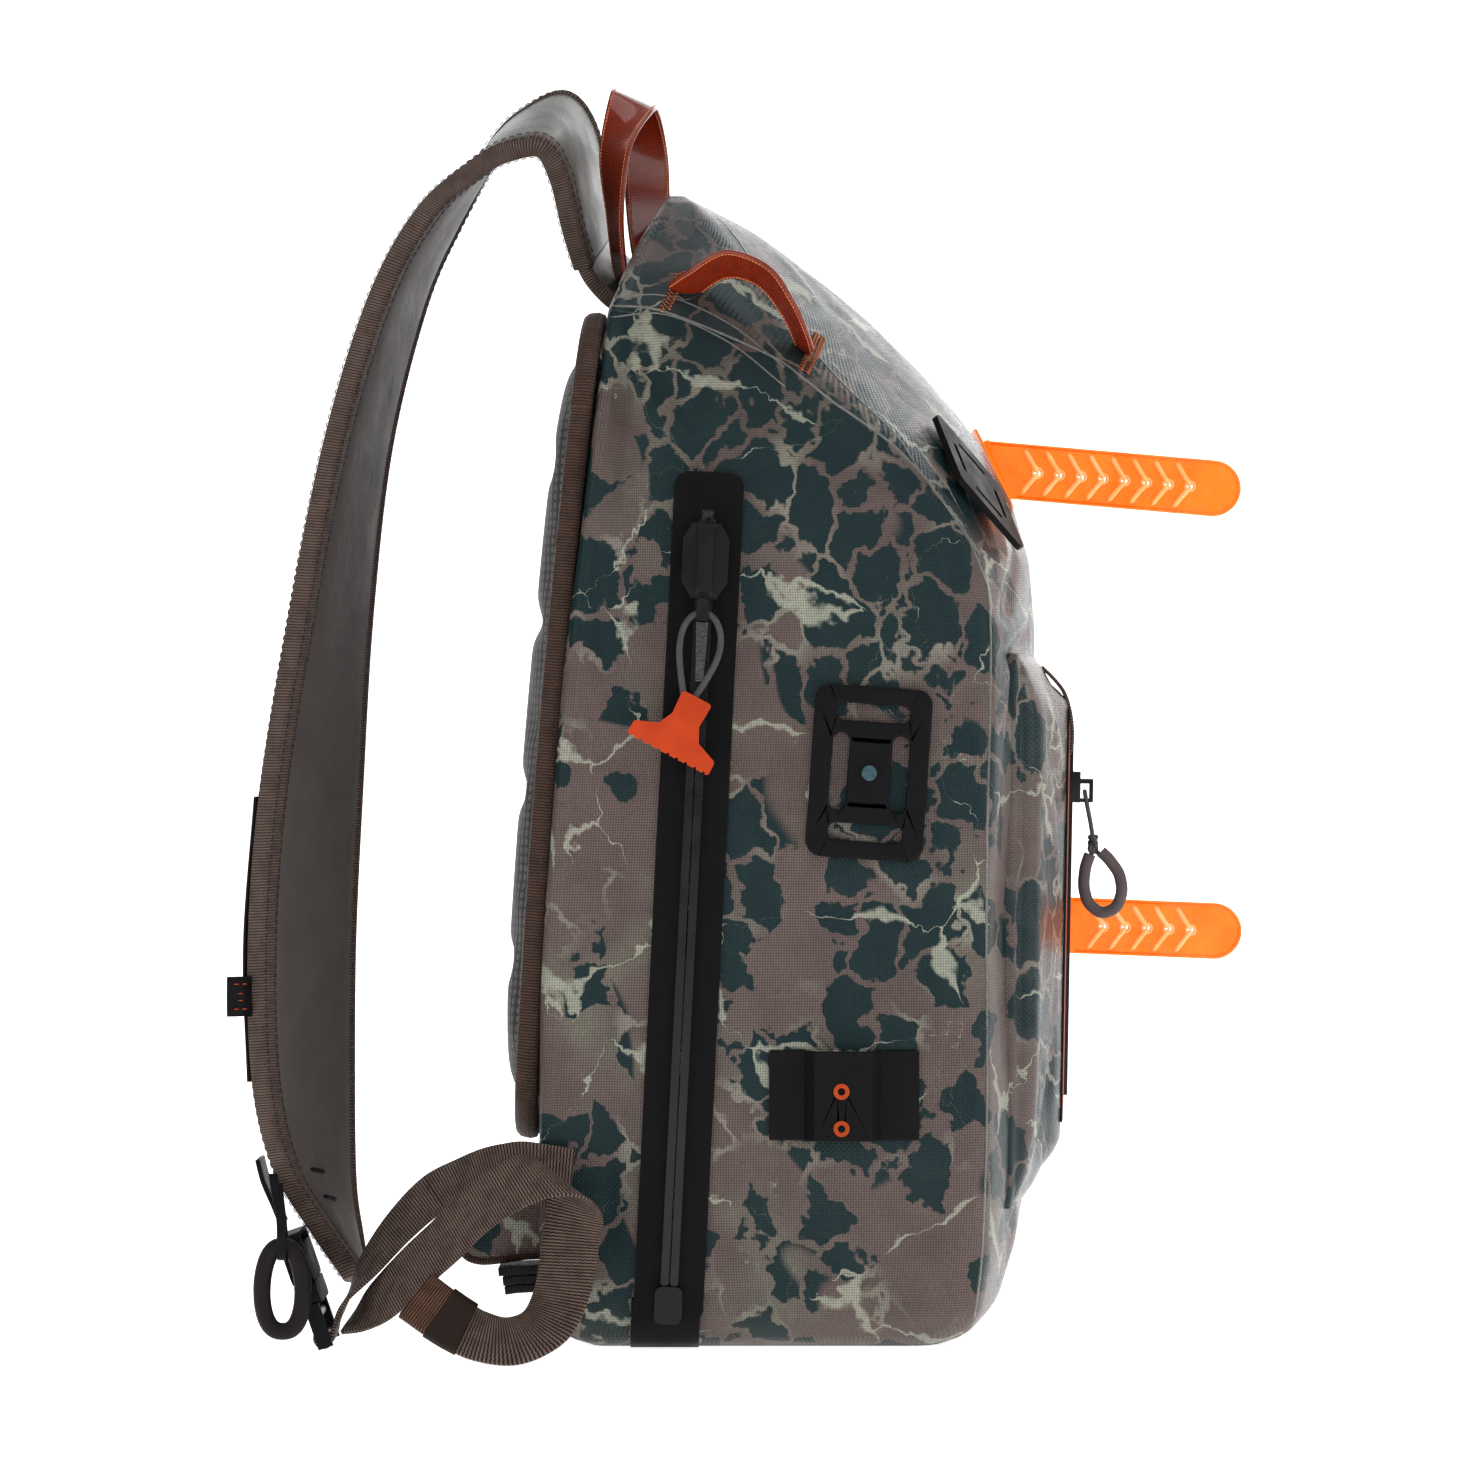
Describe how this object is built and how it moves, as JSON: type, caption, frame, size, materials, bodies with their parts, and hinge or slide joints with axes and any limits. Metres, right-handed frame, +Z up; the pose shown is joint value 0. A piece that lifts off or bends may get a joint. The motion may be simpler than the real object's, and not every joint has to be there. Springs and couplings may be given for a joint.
{
  "type": "tackle backpack",
  "caption": "Submersible single-strap fishing pack with welded camouflage shell, waterproof side zipper, front pocket, padded sling strap, lash straps and accessory plate.",
  "frame": {"origin": "centre of the flat base on the ground", "axes": "+Z up the bag, -Y out of the front, +Y towards the wearer, -X the side with the main zipper"},
  "size_m": [0.3044, 0.4215, 0.5255],
  "materials": {
    "camo_laminate": "glossy coated woven camouflage",
    "pad_foam": "matte moulded foam",
    "brown_binding": "ribbed woven tape",
    "dark_binding": "woven tape",
    "strap_shell": "glossy coated fabric",
    "zip_rubber": "smooth black coating",
    "zip_chain": "moulded",
    "slider_plastic": "moulded",
    "slider_post": "polished",
    "steel": "dark plated",
    "orange_eyelet": "painted",
    "orange_rubber": "matte moulded",
    "pull_cord": "braided",
    "grey_rubber": "smooth",
    "black_rubber": "matte",
    "orange_webbing": "smooth woven webbing",
    "orange_thread": "stitched",
    "orange_tpu": "translucent moulded",
    "pocket_zip": "coral coil zipper",
    "brown_webbing": "ribbed webbing",
    "black_webbing": "woven",
    "liner_mesh": "thin lining"
  },
  "bodies": {
    "pack": {"accessory_plate": "slider_plastic", "accessory_plate_rivet": "steel", "anchor_webbing": "brown_webbing", "back_pad": "pad_foam", "back_pad_binding": "brown_binding", "back_panel": "camo_laminate", "base_panel": "camo_laminate", "front_pocket": "camo_laminate", "front_top_panel": "camo_laminate", "grab_handle": "orange_webbing", "inner_slip_pocket": "liner_mesh", "lash_base_lower": "orange_tpu", "lash_base_upper": "orange_tpu", "lash_patch_far": "slider_plastic", "lash_patch_near": "slider_plastic", "main_zip_bottom_stop": "zip_rubber", "main_zip_chain_front": "zip_chain", "main_zip_chain_rear": "zip_chain", "main_zip_tape": "zip_rubber", "pocket_garage_loop": "pocket_zip", "pocket_zip_coil": "pocket_zip", "pocket_zip_garage": "brown_binding", "pocket_zip_tape": "pocket_zip", "side_handle": "orange_webbing", "side_handle_tacks": "orange_thread", "side_panel_far": "camo_laminate", "side_panel_near": "camo_laminate", "stabiliser_wing": "camo_laminate", "strap_anchor_tongue": "strap_shell", "tool_tab": "zip_rubber", "tool_tab_eyelets": "orange_eyelet", "wing_stub": "black_webbing"},
    "main_slider": {"main_slider_body": "slider_plastic", "main_slider_bridge": "slider_plastic", "main_slider_post": "slider_post"},
    "main_pull": {"main_pull_cord": "pull_cord", "main_pull_tab": "orange_rubber"},
    "pocket_slider": {"pocket_slider": "steel"},
    "pocket_pull": {"pocket_pull_cord": "pull_cord", "pocket_pull_knot": "pull_cord", "pocket_pull_sleeve": "grey_rubber"},
    "shoulder_strap": {"strap_outer_shell": "strap_shell", "strap_foam": "pad_foam", "strap_binding_near": "brown_binding", "strap_binding_far": "dark_binding", "strap_edge_strip": "black_webbing", "strap_label": "black_webbing", "hanger_webbing": "black_webbing", "ring_hanger": "black_webbing", "buckle_female": "slider_plastic"},
    "gear_ring": {"gear_ring": "black_rubber"},
    "buckle_half": {"buckle_male": "slider_plastic", "buckle_collar": "slider_plastic", "adjuster_bar": "slider_post", "adjuster_webbing": "brown_webbing", "tail_webbing": "brown_webbing", "webbing_keeper": "brown_webbing"},
    "lash_strap_upper": {"lash_strap_upper": "orange_tpu"},
    "lash_strap_lower": {"lash_strap_lower": "orange_tpu"}
  },
  "joints": [
    {"name": "main_zip_slide", "type": "slide", "parent": "pack", "child": "main_slider", "axis": [0, -0.0499, 0.9988], "range_m": [-0.268, 0]},
    {"name": "main_pull_swing", "type": "hinge", "parent": "main_slider", "child": "main_pull", "pos_m": [-0.13975, 0.02483, 0.29537], "axis": [0, -0.9988, -0.0499], "range_deg": [-140, 0]},
    {"name": "pocket_zip_slide", "type": "slide", "parent": "pack", "child": "pocket_slider", "axis": [-0.0016, -0.0185, 0.9998], "range_m": [-0.095, 0]},
    {"name": "pocket_pull_swing", "type": "hinge", "parent": "pocket_slider", "child": "pocket_pull", "pos_m": [-0.03083, -0.13554, 0.22313], "axis": [0.9962, -0.0872, 0], "range_deg": [-115, 0]},
    {"name": "shoulder_strap_swing", "type": "hinge", "parent": "pack", "child": "shoulder_strap", "pos_m": [-0.008, 0.07, 0.45], "axis": [1, 0, 0], "range_deg": [0, 9], "deforming": ["anchor_webbing", "strap_anchor_tongue"]},
    {"name": "gear_ring_swing", "type": "hinge", "parent": "shoulder_strap", "child": "gear_ring", "pos_m": [-0.144, 0.1916, 0.04375], "axis": [0, 1, 0], "range_deg": [0, 70]},
    {"name": "buckle_release", "type": "slide", "parent": "shoulder_strap", "child": "buckle_half", "axis": [0, -0.3256, -0.9455], "range_m": [0, 0.018], "deforming": ["adjuster_webbing", "anchor_webbing"]},
    {"name": "lash_strap_upper_fold", "type": "hinge", "parent": "pack", "child": "lash_strap_upper", "pos_m": [0.008, -0.1016, 0.361], "axis": [0, 0.4327, 0.9015], "range_deg": [-75, 75], "stiffness_Nm_per_rad": 0.06},
    {"name": "lash_strap_lower_fold", "type": "hinge", "parent": "pack", "child": "lash_strap_lower", "pos_m": [0.008, -0.132, 0.165], "axis": [0, 0.02, 0.9998], "range_deg": [-60, 75], "stiffness_Nm_per_rad": 0.06}
  ]
}
